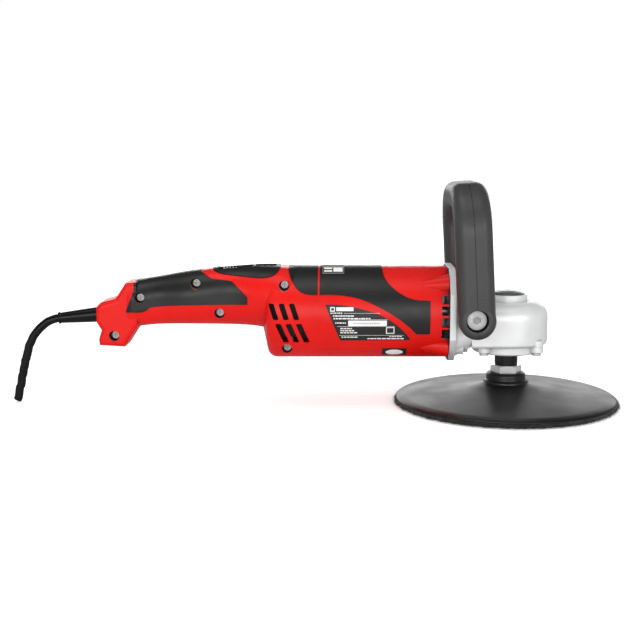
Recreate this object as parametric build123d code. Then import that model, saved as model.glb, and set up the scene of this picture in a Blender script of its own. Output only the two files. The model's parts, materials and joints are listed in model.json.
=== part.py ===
"""Corded rotary polisher: motor barrel, clamshell rear handle, gear head, hoop handle and backing pad.

Frame: origin at the centre of the pad's working face, +Z up along the spindle, +X from the motor towards
the gear head's nose, -Y the side with the shell screws. All lengths are in millimetres. Shapes are drawn
about the motor axis (height 0 there) and lifted by AXIS_HEIGHT when they are written.
"""

from build123d import *
import os
from math import cos, hypot, pi, radians, sin, tan

# ---- driving dimensions -------------------------------------------------------------------------
AXIS_HEIGHT = 76.0          # motor axis above the pad's working face
WALL = 2.8                  # plastic wall
SPLIT_GAP = 0.08            # half the parting gap between moulded halves
FIT = 0.05                  # radial running clearance of pins and shafts
SKIN = 1.6                  # depth of the pocket that holds a soft grip
PROUD = 0.35                # how far a soft grip stands out of the casing

# motor barrel, along X
BARREL_R = 37.2
BARREL_REAR = -152.3
BARREL_FRONT = -50.5
EAR_OFFSET = 25.0           # case screws sit at +-EAR_OFFSET in Y and Z
EAR_R = 8.0

# gear head
FLANGE_HALF = 37.5
FLANGE_R = 41.5             # arcs that cut the flange's corners
FLANGE_THICK = 5.0
GASKET_THICK = 0.6
HEAD_NOSE_R = 32.5
HEAD_TOP = 8.8
HEAD_BOTTOM = -25.6
HEAD_CAVITY_R = 27.2
BOSS_R = 16.0
BOSS_TOP = 14.3
COVER_R = 27.6
COVER_SCREW_OFFSET = 21.0
COVER_SCREW_R = 2.0         # M4
COVER_LUG_R = 5.2
CASE_SCREW_R = 2.5          # M5
CASE_SEAT_X = -38.5
INSERT_R = 6.0              # threaded bushes for the side bolts

# motor
SHAFT_R = 5.0
SHAFT_REAR_R = 4.0
SHAFT_FRONT_R = 3.0
CORE_REAR = -126.0
CORE_FRONT = -82.0
CORE_R = 19.0
POLE_R = 19.8
YOKE_R = 30.0
COMMUTATOR_R = 11.5
BRUSH_X = -144.0
FAN_R = 30.0
FAN_X = -66.0

# ball bearings: position of the middle, outer radius, width
REAR_BEARING_X = -161.0
REAR_BEARING_R = 11.0
REAR_BEARING_WIDTH = 7.0
FRONT_BEARING_X = -44.2
FRONT_BEARING_R = 13.0
FRONT_BEARING_WIDTH = 8.0
LOWER_BEARING_Z = -25.6
LOWER_BEARING_R = 17.5
LOWER_BEARING_WIDTH = 10.6

# bevel gears, with their common apex where the motor axis meets the spindle axis
PINION_TEETH = 10
CROWN_TEETH = 38
CONE_OUTER = 25.0
CONE_INNER = 18.0

# spindle and pad
SPINDLE_R = 7.5
SPINDLE_TOP_R = 6.0
BUSH_R = 8.5
COLLAR_R = 9.25
THREAD_R = 7.0              # M14
HEX_ACROSS = 22.0
HEX_TOP = -44.0
HEX_BOTTOM = -50.0
PAD_R = 90.0
PAD_BACK = -72.5
HOOK_R = 91.0
HUB_R = 16.0

# spindle lock in the boss on top of the head
LOCK_PIN_Y = 10.8
LOCK_PIN_R = 1.5
LOCK_BORE_R = 14.0

# hoop handle, straddling the head
PIVOT_X = -30.5
PIVOT_Z = 0.0
HOOP_INNER_Y = 38.0
HOOP_THICK = 21.0
HOOP_WIDTH = 29.0
HOOP_TOP = 105.0
HOOP_CORNER = 29.0
HOOP_EDGE = 8.6             # rounding of the bar's section
HOOP_LEAN = -3.2            # degrees, top towards the motor
BOLT_R = 4.0                # M8
BOLT_HEAD_R = 7.5
BOLT_HEAD_THICK = 6.0
BOLT_RECESS_R = 8.9
BOLT_RECESS_DEPTH = 15.0

# mains cable and its sleeve
CABLE_R = 3.5
SLEEVE_START = (-333.6, -3.0)     # (x, z) where the sleeve leaves the casing
SLEEVE_END = (-367.5, -6.1)
SLEEVE_R = 6.25
SLEEVE_TIP_R = 4.3
SLEEVE_FLANGE_R = 7.4
CABLE_ENTRY_X = -298.0
WIRE_R = 0.75
CLAMP_X = -311.0
CLAMP_Z = -1.0
CLAMP_SCREW_Z = (CLAMP_Z - 7.6, CLAMP_Z + 7.6)
CLAMP_SCREW_R = 1.5
CLAMP_SEAT_Y = -3.7

# rear handle: stations (x, z low, z high, half width, corner radius)
HANDLE_STATIONS = [
    (-308.0, -13.6, 24.4, 16.4, 12.0),
    (-298.5, -11.4, 26.2, 18.0, 15.5),
    (-267.5, -9.8, 31.6, 19.6, 18.0),
    (-236.0, -9.9, 35.8, 21.2, 19.0),
    (-212.0, -10.6, 37.4, 23.6, 21.0),
    (-198.0, -12.0, 37.6, 29.0, 25.0),
    (-186.0, -15.0, 37.3, 32.4, 30.0),
    (-172.0, -24.0, 36.8, 32.4, 31.0),
]
# tail block around the cable sleeve and the foot under it
TAIL_OUTLINE = [
    (-333.6, -7.0),
    (-333.6, 5.0),
    (-330.0, 8.8),
    (-317.5, 12.2),
    (-309.2, 24.8),
    (-300.0, 25.6),
    (-300.0, -11.0),
    (-304.5, -17.3),
    (-310.8, -27.2),
    (-331.6, -26.0),
    (-332.0, -20.8),
    (-329.6, -13.6),
]
TAIL_HALF_WIDTH = 16.5
TAIL_ROUND = 4.0

# shell screws: (x, z, depth in Y of the head seat)
SHELL_SCREWS = [
    (-319.0, -18.0, 7.0),
    (-297.5, 13.0, 8.0),
    (-252.0, 24.6, 7.0),
    (-233.0, 1.0, 10.0),
    (-180.5, 24.2, 16.0),
    (-178.7, -26.7, 14.0),
]
SCREW_RECESS_R = 4.2
SCREW_HEAD_R = 3.0
SCREW_R = 1.8

# speed dial and slide switch
DIAL_X = -196.0
DIAL_Z = 29.3
DIAL_R = 7.8
DIAL_HALF_WIDTH = 3.9
SLIDER_REAR = -232.0
SLIDER_FRONT = -220.0
SLIDER_TRAVEL = 8.0
BEZEL_FLOOR = 33.6

FAR = 60.0                  # any distance clear of the casing, for cutting tools


# ---- plain shapes -------------------------------------------------------------------------------
def along_x(radius, x_start, x_end, y=0.0, z=0.0):
    return Pos((x_start + x_end) / 2, y, z) * Rot(0, 90, 0) * Cylinder(radius, x_end - x_start)


def along_y(radius, y_start, y_end, x=0.0, z=0.0):
    return Pos(x, (y_start + y_end) / 2, z) * Rot(90, 0, 0) * Cylinder(radius, y_end - y_start)


def along_z(radius, z_start, z_end, x=0.0, y=0.0):
    return Pos(x, y, (z_start + z_end) / 2) * Cylinder(radius, z_end - z_start)


def block(x_low, x_high, y_low, y_high, z_low, z_high):
    centre = Pos((x_low + x_high) / 2, (y_low + y_high) / 2, (z_low + z_high) / 2)
    return centre * Box(x_high - x_low, y_high - y_low, z_high - z_low)


def side_face(points):
    """Face in the XZ plane from corner points (x, z)."""
    return make_face(Polyline(*[(x, 0, z) for x, z in points], close=True))


def side_prism(face, y_low, y_high):
    """Side-view face pushed along Y."""
    return extrude(Pos(0, y_low, 0) * face, amount=y_high - y_low, dir=(0, 1, 0))


def turned_x(points):
    """Solid of revolution about the motor axis from (x, radius) corners."""
    return revolve(side_face(points), axis=Axis.X)


def turned_z(points):
    """Solid of revolution about the spindle axis from (radius, z) corners."""
    return revolve(side_face(points), axis=Axis.Z)


def group(shapes):
    """Separate solids kept in one node."""
    solids = []
    for shape in shapes:
        solids.extend(shape.solids())
    return Compound(solids)


def mirrored(shape):
    return mirror(shape, about=Plane.XZ)


def sector_x(r_in, r_out, angle_from, angle_to, x_start, x_end):
    """Ring sector about the motor axis; angles from +Y towards +Z."""
    reach = 2.2 * r_out
    fan = [(0, 0)]
    steps = 4
    for i in range(steps + 1):
        angle = radians(angle_from + (angle_to - angle_from) * i / steps)
        fan.append((reach * cos(angle), reach * sin(angle)))
    plane = Plane(origin=(x_start, 0, 0), x_dir=(0, 1, 0), z_dir=(1, 0, 0))
    ring = Circle(r_out) - Circle(r_in)
    wedge = make_face(Polyline(*fan, close=True))
    return extrude(plane * (ring & wedge), amount=x_end - x_start)


def ball_bearing(bore_r, outer_r, width):
    """Outer ring, inner ring and balls about Z, centred at the origin."""
    ring = 0.27 * (outer_r - bore_r)
    ball_r = (outer_r - bore_r) / 2 - ring + 0.5
    middle_r = (outer_r + bore_r) / 2
    groove = Torus(middle_r, ball_r + FIT)
    outer = Cylinder(outer_r, width) - Cylinder(outer_r - ring, width) - groove
    inner = Cylinder(bore_r + ring, width) - Cylinder(bore_r, width) - groove
    count = int(pi * middle_r / (1.35 * ball_r))
    balls = [loc * Sphere(ball_r) for loc in PolarLocations(middle_r, count)]
    return outer, inner, group(balls)


# ---- outer form of the rear handle --------------------------------------------------------------
def handle_station(x, z_low, z_high, half_width, corner, inset):
    plane = Plane(origin=(x, 0, (z_low + z_high) / 2), x_dir=(0, 1, 0), z_dir=(1, 0, 0))
    width = 2 * (half_width - inset)
    height = z_high - z_low - 2 * inset
    radius = min(corner - inset, 0.49 * width, 0.49 * height)
    return plane * RectangleRounded(width, height, radius)


def bell_form(inset):
    """Round rear end of the motor bay, where the handle swells to the barrel's size."""
    r = BARREL_R - inset
    rear = -199.0 + inset
    outline = Polyline((BARREL_REAR, 0, r), (BARREL_REAR, 0, 0), (rear, 0, 0), (rear, 0, 12))
    slope = Line((rear, 0, 12), (rear + 4.0, 0, r - 7))
    corner = ThreePointArc((rear + 4.0, 0, r - 7), (rear + 6.3, 0, r - 2.2), (rear + 11, 0, r))
    crown = Line((rear + 11, 0, r), (BARREL_REAR, 0, r))
    return revolve(make_face(outline + slope + corner + crown), axis=Axis.X)


def tail_form(inset):
    """Block that carries the cable sleeve, with the foot below it."""
    face = side_face(TAIL_OUTLINE)
    half = TAIL_HALF_WIDTH - inset
    if inset > 0:
        return side_prism(offset(face, amount=-inset, kind=Kind.INTERSECTION), -half, half)
    body = side_prism(face, -half, half)
    rims = body.edges().group_by(Axis.Y)
    kept = [e for e in rims[0] + rims[-1] if e.center().X < -300.5]
    return fillet(kept, TAIL_ROUND)


def rear_form(inset):
    stations = [handle_station(*station, inset) for station in HANDLE_STATIONS]
    return loft(stations) + bell_form(inset) + tail_form(inset)


# ---- outlines of the soft grips, seen from the side (x, z) --------------------------------------
def motor_grip_face():
    """Saddle over the barrel, with an arm that sweeps down to a block behind the front vents."""
    lower = Spline((BARREL_REAR, 0, 17.8), (-132.9, 0, 17.2), (-118.7, 0, 14.1), (-103.7, 0, 7.5),
                   (-90.5, 0, -0.5), (-76, 0, -13.4))
    front = Polyline((-76, 0, -13.4), (-65.5, 0, -13.4), (-65.5, 0, 13.3), (-75.3, 0, 13.7))
    upper = Spline((-75.3, 0, 13.7), (-84.5, 0, 16.4), (-93.8, 0, 22.2), (-100.3, 0, 29.4),
                   (-102.7, 0, 38.5))
    back = Polyline((-102.7, 0, 38.5), (-102.7, 0, FAR), (BARREL_REAR, 0, FAR),
                    (BARREL_REAR, 0, 17.8))
    return make_face(lower + front + upper + back)


def rear_grip_face():
    """Patch behind the seam that carries on the line of the motor grip."""
    front = BARREL_REAR - 1.7
    edge = Spline((-177.8, 0, 39), (-176.2, 0, 32.1), (-172.9, 0, 25.8), (-167.8, 0, 20.3),
                  (-162.0, 0, 18.2), (front, 0, 17.9))
    rest = Polyline((front, 0, 17.9), (front, 0, FAR), (-177.8, 0, FAR), (-177.8, 0, 39))
    return make_face(edge + rest)


def handle_grip_face():
    """Grip on the hand section, pointed at the tail and cut back under the switch."""
    step = Spline((-296, 0, 1.5), (-292.5, 0, 2.8), (-289.2, 0, 5.4))
    under = Spline((-289.2, 0, 5.4), (-270.5, 0, 7.3), (-249, 0, 8.1), (-210.2, 0, 8.7))
    nose = Polyline((-210.2, 0, 8.7), (-210.2, 0, 14.7), (-222.8, 0, 27.1), (-238.8, 0, 28.8),
                    (-248.5, 0, 34.0), (-248.5, 0, FAR), (-302, 0, FAR), (-302, 0, 18.6),
                    (-309.1, 0, 1.5), (-296, 0, 1.5))
    return make_face(step + under + nose)


def switch_bezel_face():
    """Black switch surround on top of the handle."""
    under = Spline((-241.6, 0, 38.0), (-236.5, 0, 34.5), (-224, 0, 32.0), (-205, 0, 30.4),
                   (-195, 0, 30.7), (-187.2, 0, 33.8), (-184.0, 0, 40))
    over = Polyline((-184.0, 0, 40), (-184.0, 0, FAR), (-241.6, 0, FAR), (-241.6, 0, 38.0))
    return make_face(under + over)


def vent_slots():
    """Two rows of three slanted slots on one side of the shells."""
    slots = []
    spacing = 8.15
    upper_row = (-193.0, 11.2, -1.7, 4.4, 18.0)
    lower_row = (-187.7, -4.7, -20.6, 4.7, 22.5)
    for row_x, row_z, low_z, width, slant in (upper_row, lower_row):
        run = (row_z - low_z) * tan(radians(slant))
        for i in range(3):
            x = row_x + spacing * i
            face = side_face([(x, row_z), (x + width, row_z), (x + width + run, low_z), (x + run, low_z)])
            slots.append(side_prism(fillet(face.vertices(), 1.2), -FAR, FAR))
    return slots


# ---- casings ------------------------------------------------------------------------------------
def barrel_form(inset):
    return along_x(BARREL_R - inset, BARREL_REAR, BARREL_FRONT)


def screw_ears():
    """Fairings that run from the barrel out to the four case screws."""
    ears = []
    for side_y in (-1, 1):
        for side_z in (-1, 1):
            front = Plane(origin=(BARREL_FRONT, side_y * EAR_OFFSET, side_z * EAR_OFFSET),
                          x_dir=(0, 1, 0), z_dir=(1, 0, 0)) * Circle(EAR_R)
            back = Plane(origin=(-81, side_y * 23.0, side_z * 23.0),
                         x_dir=(0, 1, 0), z_dir=(1, 0, 0)) * Circle(2.5)
            ears.append(loft([back, front], ruled=True))
    return ears


def case_screw_places():
    return [(y * EAR_OFFSET, z * EAR_OFFSET) for y in (-1, 1) for z in (-1, 1)]


def front_vents():
    """Four openings a side in the front rim of the barrel."""
    cuts = []
    for low, high in ((10.6, 17.0), (1.6, 9.0), (-8.0, 0.0), (-17.4, -9.6)):
        cuts.append(block(-56.2, BARREL_FRONT + 1, -50, 50, low, high))
    return cuts


def motor_housing():
    body = barrel_form(0) - barrel_form(WALL)
    spigot_r = BARREL_R - WALL - 0.2
    spigot = along_x(spigot_r, -159, -149.4) - along_x(spigot_r - 2.4, -160, -145)
    bridge = along_x(BARREL_R - 1, -151.8, -149.4) - along_x(spigot_r - 2.4, -152, -145)
    web = along_x(spigot_r, -156, -153) + along_x(13.8, -165.5, -153)
    web -= along_x(REAR_BEARING_R + 0.03, REAR_BEARING_X - REAR_BEARING_WIDTH / 2 - 0.1, -150)
    web -= along_x(SHAFT_REAR_R + 1.5, -170, -150)
    for angle in (0, 90, 180, 270):
        web -= sector_x(16.5, 29.5, angle + 12, angle + 78, -158, -152)
    body += spigot + bridge + web
    for ear in screw_ears():
        body += ear - along_x(BARREL_R - WALL, -90, BARREL_FRONT + 1)
    for y, z in case_screw_places():
        body -= along_x(CASE_SCREW_R + FIT, -66, BARREL_FRONT + 1, y, z)
    for cut in front_vents():
        body -= cut
    pocket = barrel_form(-1) - barrel_form(SKIN)
    return body - (pocket & side_prism(motor_grip_face(), -FAR, FAR))


def motor_grip():
    skin = barrel_form(-PROUD) - barrel_form(SKIN - FIT)
    return skin & side_prism(motor_grip_face(), -FAR, FAR)


def screw_posts(side_y):
    """Posts that carry the shell screws; the near half has the head recess."""
    solid = []
    holes = []
    for x, z, seat in SHELL_SCREWS:
        if side_y < 0:
            solid.append(along_y(SCREW_RECESS_R + 1.6, -45, -SPLIT_GAP, x, z))
            holes.append(along_y(SCREW_RECESS_R, -60, -seat, x, z))
            holes.append(along_y(SCREW_R + FIT, -60, 1, x, z))
        else:
            solid.append(along_y(4.4, SPLIT_GAP, 45, x, z))
            holes.append(along_y(SCREW_R + FIT, -1, 11, x, z))
    return solid, holes


def half_space(side_y):
    """Everything on one side of the moulding split."""
    low, high = sorted((side_y * SPLIT_GAP, side_y * FAR))
    return block(-400, 0, low, high, -FAR, FAR)


def shell_half(form, side_y):
    """One clamshell half: hollow form with posts, pockets for the soft grips, and vents."""
    outer, inner = form
    half = half_space(side_y)
    body = (outer - inner) & half
    solid, holes = screw_posts(side_y)
    for post in solid:
        body += post & outer & half
    for slot in vent_slots():
        body -= slot & block(-200, -160, side_y * 36 - 24, side_y * 36 + 24, -40, 40)
    for hole in holes:
        body -= hole
    if side_y > 0:
        for z in CLAMP_SCREW_Z:
            post = along_y(3.4, CLAMP_SEAT_Y, 20, CLAMP_X, z) & outer
            body += post - along_y(CLAMP_SCREW_R + FIT, -10, 8, CLAMP_X, z)
    body -= along_y(DIAL_R + 0.7, -DIAL_HALF_WIDTH - 0.7, DIAL_HALF_WIDTH + 0.7, DIAL_X, DIAL_Z)
    body -= sleeve_shape(SLEEVE_FLANGE_R + FIT, SLEEVE_FLANGE_R + FIT, -9, -4.6)
    return body - sleeve_shape(SLEEVE_R + 2 * FIT, SLEEVE_R + 2 * FIT, -8, 14)


def cut_pockets(shell, outer, pocket):
    """Room for the soft grips and for the switch surround."""
    ring = outer - pocket
    for face in (rear_grip_face(), handle_grip_face()):
        shell -= ring & side_prism(face, -FAR, FAR)
    return shell - side_prism(switch_bezel_face(), -FAR, FAR)


def shell_grips(face, swollen, pocket, side_y):
    skin = swollen - pocket
    return skin & side_prism(face, -FAR, FAR) & half_space(side_y)


def switch_bezel(swollen, inner):
    body = (swollen - inner) & side_prism(switch_bezel_face(), -FAR, FAR)
    body -= block(SLIDER_REAR - 2.5, -206.5, -8.5, 8.5, BEZEL_FLOOR, 60)
    body -= block(-204.5, -188.0, -7.5, 7.5, BEZEL_FLOOR + 0.8, 60)
    slot_front = SLIDER_FRONT + SLIDER_TRAVEL + 0.5
    body -= block(SLIDER_REAR - 0.5, slot_front, -5.8, 5.8, 20, 60)
    body -= block(DIAL_X - 8.2, DIAL_X + 8.2, -4.3, 4.3, 20, 60)
    return body


def switch_slider():
    """Ribbed thumb piece with its guide plate and the stem that works the switch."""
    thumb = block(SLIDER_REAR, SLIDER_FRONT, -5.4, 5.4, 30.2, 35.0)
    for i in range(5):
        x = SLIDER_REAR + 1.0 + 2.5 * i
        thumb += side_prism(side_face([(x - 1.0, 34.9), (x, 36.3), (x + 1.0, 34.9)]), -5.4, 5.4)
    plate = block(SLIDER_REAR - 5.0, SLIDER_FRONT + 3.0, -7, 7, 28.6, 30.2)
    stem = block(-228.0, -224.0, -2.5, 2.5, 22.5, 28.6)
    return thumb + plate + stem


def power_switch():
    body = block(-241.0, -209.0, -8.0, 8.0, 8.5, 25.5)
    body -= block(-230.0, -224.0 + SLIDER_TRAVEL + 2.0, -3.5, 3.5, 22.0, 26)
    for x in (-239.0, -211.0):
        body += block(x - 0.8, x + 0.8, -3.0, 3.0, 4.5, 8.5)
    return body


def speed_dial():
    """Knurled thumbwheel on the potentiometer's stub."""
    wheel = along_y(DIAL_R, -DIAL_HALF_WIDTH, DIAL_HALF_WIDTH, DIAL_X, DIAL_Z)
    notch_count = 24
    for i in range(notch_count):
        angle = 2 * pi * i / notch_count
        x = DIAL_X + (DIAL_R + 0.1) * cos(angle)
        z = DIAL_Z + (DIAL_R + 0.1) * sin(angle)
        wheel -= along_y(0.45, -5, 5, x, z)
    return wheel - along_y(2.0 + FIT, -5, 5, DIAL_X, DIAL_Z)


def speed_potentiometer():
    body = block(DIAL_X - 5, DIAL_X + 5, DIAL_HALF_WIDTH + 0.4, DIAL_HALF_WIDTH + 4.6, 21, 31.5)
    return body + along_y(2.0, -DIAL_HALF_WIDTH, DIAL_HALF_WIDTH + 1, DIAL_X, DIAL_Z)


def shell_screws():
    screws = []
    for x, z, seat in SHELL_SCREWS:
        head = along_y(SCREW_HEAD_R, -seat - 2.4, -seat, x, z)
        cross = block(x - 1.9, x + 1.9, -seat - 3, -seat - 1.2, z - 0.4, z + 0.4)
        cross += block(x - 0.4, x + 0.4, -seat - 3, -seat - 1.2, z - 1.9, z + 1.9)
        screws.append(head - cross + along_y(SCREW_R, -seat, 10, x, z))
    return group(screws)


def label_on_barrel(face, radius, thick, y_low=-60, y_high=0):
    tube = along_x(radius + thick, BARREL_REAR, BARREL_FRONT) - along_x(radius, BARREL_REAR, BARREL_FRONT)
    return tube & side_prism(face, y_low, y_high)


def rating_plate():
    """Blank plate on the barrel's near side, under the sweep of the grip."""
    top = Spline((-147.8, 0, 10.4), (-132.9, 0, 9.7), (-116.4, 0, 6.1), (-103.7, 0, 1.6),
                 (-87.1, 0, -10.1), (-80.7, 0, -18.3))
    rest = Polyline((-80.7, 0, -18.3), (-136.0, 0, -18.8), (-147.8, 0, 10.4))
    return label_on_barrel(make_face(top + rest), BARREL_R, 0.25)


def top_label():
    face = side_face([(-150.2, 33.0), (-133.0, 33.0), (-133.0, 45), (-150.2, 45)])
    return label_on_barrel(face, BARREL_R + PROUD + 0.02, 0.2, -60, 6)


def side_sticker():
    face = Pos(-92.9, 0, -29.6) * Rot(90, 0, 0) * RectangleRounded(19.6, 6.8, 0.8)
    return label_on_barrel(face, BARREL_R, 0.2)


# ---- cable --------------------------------------------------------------------------------------
def sleeve_slope():
    return (SLEEVE_END[1] - SLEEVE_START[1]) / (SLEEVE_END[0] - SLEEVE_START[0])


def sleeve_frame():
    """Plane at the sleeve's root, with its normal along the sleeve towards the tip."""
    dx = SLEEVE_END[0] - SLEEVE_START[0]
    dz = SLEEVE_END[1] - SLEEVE_START[1]
    length = hypot(dx, dz)
    direction = (dx / length, 0, dz / length)
    return Plane(origin=(SLEEVE_START[0], 0, SLEEVE_START[1]), x_dir=(0, 1, 0), z_dir=direction)


def sleeve_shape(r_root, r_tip, start, end):
    """Cone about the sleeve's line, from start to end along it."""
    if r_root == r_tip:
        shape = Solid.make_cylinder(r_root, end - start)
    else:
        shape = Solid.make_cone(r_root, r_tip, end - start)
    return sleeve_frame() * Pos(0, 0, start) * shape


def strain_relief():
    """Smooth rubber cone with a flange in the casing and a thin lip at its tip."""
    length = hypot(SLEEVE_END[0] - SLEEVE_START[0], SLEEVE_END[1] - SLEEVE_START[1])
    body = sleeve_shape(SLEEVE_R, SLEEVE_TIP_R, -7.0, length - 1.0)
    body += sleeve_shape(SLEEVE_TIP_R + 0.6, SLEEVE_TIP_R + 0.6, length - 1.6, length)
    body += sleeve_shape(SLEEVE_FLANGE_R, SLEEVE_FLANGE_R, -7.0, -4.8)
    return body - sleeve_shape(CABLE_R + 0.1, CABLE_R + 0.1, -20, 60)


def power_cable():
    slope = sleeve_slope()
    entry_z = SLEEVE_START[1] + slope * (CABLE_ENTRY_X - SLEEVE_START[0])
    leave_x = SLEEVE_END[0] - 1.0
    leave_z = SLEEVE_START[1] + slope * (leave_x - SLEEVE_START[0])
    straight = Line((CABLE_ENTRY_X, 0, entry_z), (leave_x, 0, leave_z))
    sag = Spline((leave_x, 0, leave_z), (-381.8, 0, -12.6), (-389.8, 0, -22.6), (-396.6, 0, -43.0),
                 (-404.2, 0, -74.4), tangents=[(-1, 0, -slope), (-0.23, 0, -1)])
    start = Plane(origin=(CABLE_ENTRY_X, 0, entry_z), x_dir=(0, 1, 0), z_dir=(-1, 0, -slope))
    return sweep(start * Circle(CABLE_R), path=Wire([straight.edge(), sag.edge()]))


def cable_clamp():
    bar = block(CLAMP_X - 3.5, CLAMP_X + 3.5, CLAMP_SEAT_Y - 2.4, CLAMP_SEAT_Y, CLAMP_Z - 11, CLAMP_Z + 11)
    for z in CLAMP_SCREW_Z:
        bar -= along_y(CLAMP_SCREW_R + FIT, -12, 0, CLAMP_X, z)
    return bar


def cable_clamp_screws():
    screws = []
    for z in CLAMP_SCREW_Z:
        head = along_y(2.8, CLAMP_SEAT_Y - 4.4, CLAMP_SEAT_Y - 2.4, CLAMP_X, z)
        screws.append(head + along_y(CLAMP_SCREW_R, CLAMP_SEAT_Y - 2.4, 7, CLAMP_X, z))
    return group(screws)


def control_board():
    """Potted speed controller in the bell, between the vents and under the dial."""
    case = block(-197.0, -166.3, -14.0, 14.0, -19.0, 16.0) - block(-198.0, -192.4, -15, 15, -20.0, -6.0)
    foot = block(-171.0, -160.0, -12.0, 12.0, -20.4, -15.2)
    body = case + foot
    for i in range(5):
        x = -193.0 + 5.2 * i
        body -= block(x, x + 2.4, -15, -12.8, -5.0, 13.0) + block(x, x + 2.4, 12.8, 15, -5.0, 13.0)
    return body


def suppression_capacitor():
    body = block(-288.0, -273.0, 3.4, 11.5, 6.0, 17.0)
    return fillet(body.edges(), 1.2)


def lead_wires():
    """Mains leads under the switch to the controller, and from there to the brush holders."""
    wires = []
    for side_y in (-1, 1):
        supply = Spline((CABLE_ENTRY_X + 0.8, side_y * 1.6, 0.1), (-285.0, side_y * 3, -3.5),
                        (-259.0, side_y * 4, -5.4), (-233.0, side_y * 4, -5.85), (-197.2, side_y * 6, -4.0))
        motor = Spline((-165.4, side_y * 12.9, 9.5), (-160.0, side_y * 17.0, 10.8),
                       (-150.8, side_y * 19.0, 11.0))
        for path in (supply, motor):
            start = Plane(origin=path @ 0, z_dir=path % 0)
            wires.append(sweep(start * Circle(WIRE_R), path=path))
    return group(wires)


# ---- motor --------------------------------------------------------------------------------------
def armature_shaft():
    rear = along_x(SHAFT_REAR_R, -165.9, CORE_REAR + 1)
    return rear + along_x(SHAFT_R, CORE_REAR, -39.9) + along_x(SHAFT_FRONT_R, -39.9, -17.0)


def armature_core():
    """Slotted lamination stack."""
    core = along_x(CORE_R, CORE_REAR, CORE_FRONT) - along_x(SHAFT_R + FIT, CORE_REAR - 1, CORE_FRONT + 1)
    slot_count = 12
    for i in range(slot_count):
        angle = 360 / slot_count * i
        core -= Rot(angle, 0, 0) * block(CORE_REAR - 1, CORE_FRONT + 1, -0.9, 0.9, CORE_R - 6, CORE_R + 1)
    return core


def armature_windings():
    """The two wound heads that stand out of the stack."""
    heads = []
    for x, step in ((CORE_FRONT + FIT, 1), (CORE_REAR - FIT, -1)):
        outline = [(0, 7), (0, 17), (3, 17.8), (8, 15.5), (9, 11), (9, 7)]
        heads.append(turned_x([(x + step * out, radius) for out, radius in outline]))
    return group(heads)


def commutator():
    bars = along_x(COMMUTATOR_R, -151, -137.5) - along_x(SHAFT_REAR_R + FIT, -152, -136)
    bar_count = 24
    for i in range(bar_count):
        angle = 360 / bar_count * i
        bars -= Rot(angle, 0, 0) * block(-152, -139, -0.2, 0.2, COMMUTATOR_R - 1.2, COMMUTATOR_R + 1)
    return bars


def cooling_fan():
    fan = along_x(9.0, FAN_X, FAN_X + 12) + along_x(FAN_R, FAN_X + 8.0, FAN_X + 9.6)
    blade_count = 11
    for i in range(blade_count):
        blade = block(FAN_X + 1, FAN_X + 9, -0.8, 0.8, 13, FAN_R)
        fan += Rot(360 / blade_count * i, 0, 0) * Pos(0, 4, 0) * blade
    return fan - along_x(SHAFT_R + FIT, FAN_X - 4, FAN_X + 16)


def stator_core():
    """Field laminations with two poles."""
    yoke = along_x(YOKE_R + 3.8, CORE_REAR, CORE_FRONT)
    stack = yoke - along_x(YOKE_R, CORE_REAR - 1, CORE_FRONT + 1)
    for side in (0, 180):
        stack += sector_x(POLE_R, YOKE_R + 0.5, 75 + side, 105 + side, CORE_REAR, CORE_FRONT)
        stack += sector_x(POLE_R, POLE_R + 2.4, 40 + side, 140 + side, CORE_REAR, CORE_FRONT)
    return stack


def field_coils():
    coils = []
    for side in (0, 180):
        coil = sector_x(POLE_R + 2.8, YOKE_R - 0.4, 42 + side, 138 + side, CORE_REAR - 8, CORE_FRONT + 8)
        coil -= sector_x(20, 32, 74 + side, 106 + side, CORE_REAR - 0.4, CORE_FRONT + 0.4)
        coils.append(coil)
    return group(coils)


def brush_parts():
    """Holders, carbon brushes and their springs on both sides of the commutator."""
    holders, brushes, springs = [], [], []
    for side in (0, 180):
        turn = Rot(side, 0, 0)
        tube = block(BRUSH_X - 5, BRUSH_X + 5, 12.6, 33.0, -4.2, 4.2)
        tube -= block(BRUSH_X - 3.3, BRUSH_X + 3.3, 10, 31.6, -2.6, 2.6)
        holders.append(turn * tube)
        brush = block(BRUSH_X - 3.2, BRUSH_X + 3.2, COMMUTATOR_R + 0.05, 24.0, -2.5, 2.5)
        brush -= along_x(COMMUTATOR_R + 0.05, BRUSH_X - 5, BRUSH_X + 5)
        brushes.append(turn * brush)
        helix = Helix(pitch=1.7, height=6.8, radius=1.9)
        wire = sweep(Plane(origin=helix @ 0, z_dir=helix % 0) * Circle(0.3), path=helix)
        springs.append(turn * (Pos(BRUSH_X, 24.4, 0) * Rot(-90, 0, 0) * wire))
    return group(holders), group(brushes), group(springs)


def air_baffle():
    ring = along_x(BARREL_R - WALL - 0.1, -71.5, -69.5) - along_x(21.0, -72, -69)
    return ring + (along_x(22.4, -69.6, -67.0) - along_x(21.0, -70, -66))


# ---- gear head ----------------------------------------------------------------------------------
def pitch_slope():
    """Rise of the crown's pitch cone per millimetre of radius."""
    return PINION_TEETH / CROWN_TEETH


def tooth_sizes():
    module = 2 * CONE_OUTER / CROWN_TEETH
    pitch = pi * module
    return 0.72 * module, 0.98 * module, pitch


def scaled(points, factor):
    return [tuple(factor * value for value in point) for point in points]


def bevel_tooth(points):
    """Tooth whose flanks all point at the apex: the outer section shrunk towards the inner one."""
    inner = scaled(points, CONE_INNER / CONE_OUTER)
    faces = [make_face(Polyline(*corner, close=True)) for corner in (points, inner)]
    return loft(faces, ruled=True)


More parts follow.
